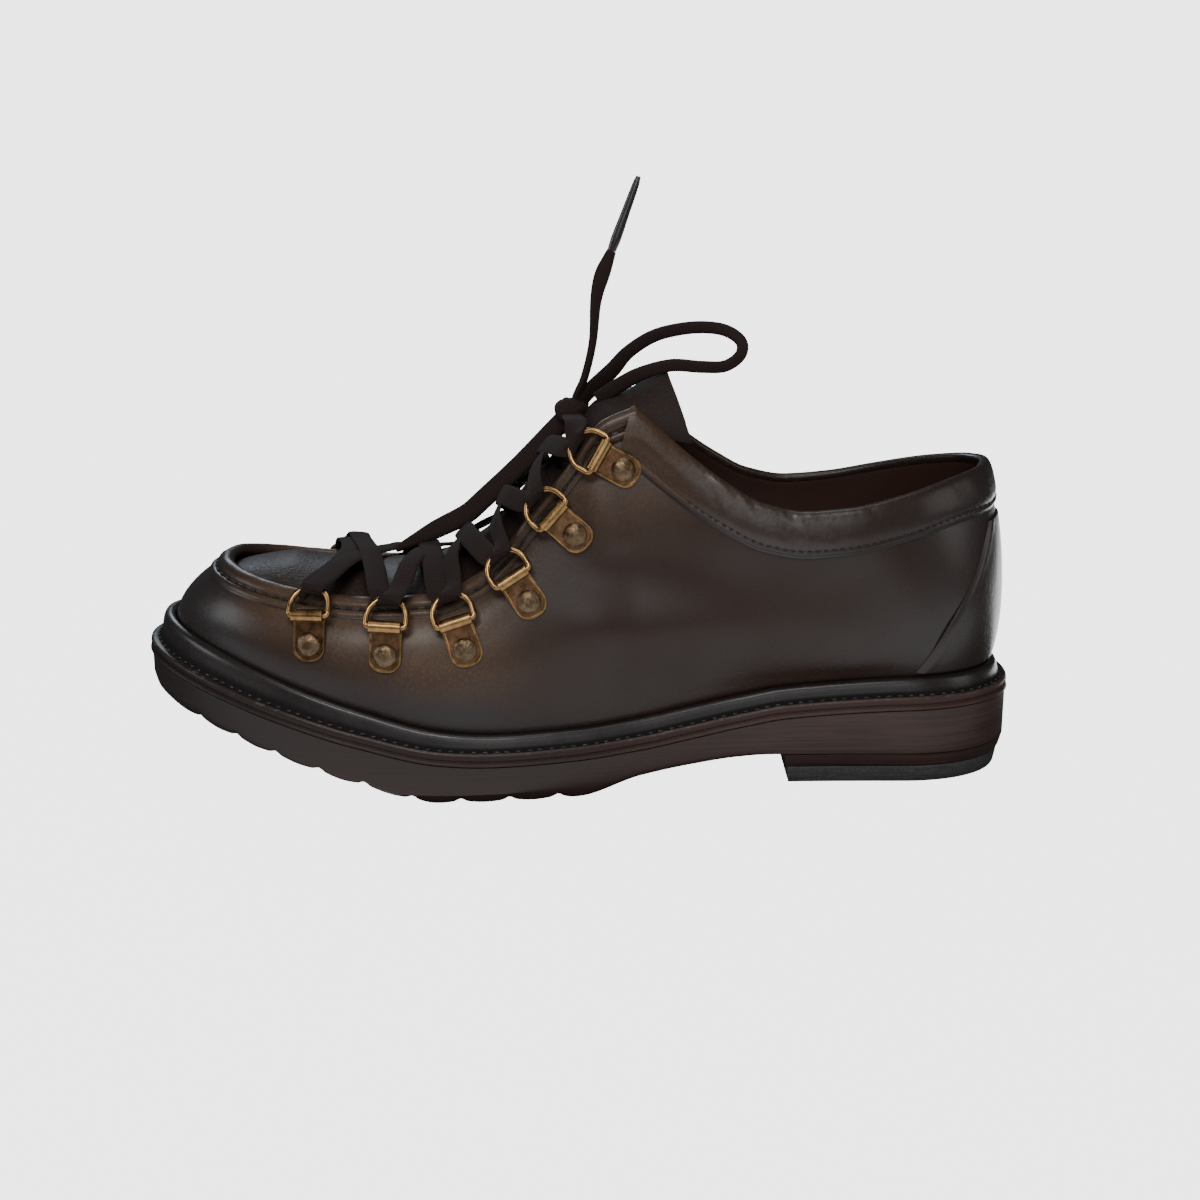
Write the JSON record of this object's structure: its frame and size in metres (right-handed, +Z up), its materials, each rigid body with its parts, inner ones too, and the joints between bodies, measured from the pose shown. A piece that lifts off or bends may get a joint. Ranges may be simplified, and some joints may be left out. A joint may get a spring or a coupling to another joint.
{
  "type": "lace-up shoe",
  "caption": "Left lace-up shoe of burnished brown leather with a plug toe, brass D-ring lacing, a storm welt and a lugged rubber sole.",
  "frame": {"origin": "on the floor, in the middle of the shoe's length and width without its free lace", "axes": "+X from toe to heel, +Y to the inner side of the left foot, +Z up"},
  "size_m": [0.3, 0.1038, 0.2],
  "materials": {
    "leather": "burnished, semi-gloss",
    "lining": "smooth, matt",
    "welt": "satin",
    "sole": "satin",
    "lift": "matt",
    "brass": "antiqued",
    "lace": "braided, matt"
  },
  "bodies": {
    "root": {"outsole": "sole", "heel_block": "sole", "heel_lift": "lift", "welt": "welt", "insole": "lining", "upper": "leather", "tongue": "leather", "facing_rim": "leather", "collar_band": "leather", "heel_counter": "leather", "ring_plate_outer_1": "brass", "ring_plate_outer_2": "brass", "ring_plate_outer_3": "brass", "ring_plate_outer_4": "brass", "ring_plate_outer_5": "brass", "ring_plate_outer_6": "brass", "ring_plate_inner_1": "brass", "ring_plate_inner_2": "brass", "ring_plate_inner_3": "brass", "ring_plate_inner_4": "brass", "ring_plate_inner_5": "brass", "ring_plate_inner_6": "brass", "rivet_outer_1": "brass", "rivet_outer_2": "brass", "rivet_outer_3": "brass", "rivet_outer_4": "brass", "rivet_outer_5": "brass", "rivet_outer_6": "brass", "rivet_inner_1": "brass", "rivet_inner_2": "brass", "rivet_inner_3": "brass", "rivet_inner_4": "brass", "rivet_inner_5": "brass", "rivet_inner_6": "brass", "lace_ring_outer_1": "brass", "lace_ring_outer_2": "brass", "lace_ring_outer_3": "brass", "lace_ring_outer_4": "brass", "lace_ring_outer_5": "brass", "lace_ring_outer_6": "brass", "lace_ring_inner_1": "brass", "lace_ring_inner_2": "brass", "lace_ring_inner_3": "brass", "lace_ring_inner_4": "brass", "lace_ring_inner_5": "brass", "lace_ring_inner_6": "brass", "lace_crossing_1": "lace", "lace_crossing_2": "lace", "lace_crossing_3": "lace", "lace_crossing_4": "lace", "lace_crossing_5": "lace", "lace_tie_outer": "lace", "lace_tie_inner": "lace", "lace_bridge": "lace", "lace_knot": "lace", "lace_loop": "lace", "lace_end": "lace", "lace_aglet": "lace"}
  },
  "joints": []
}
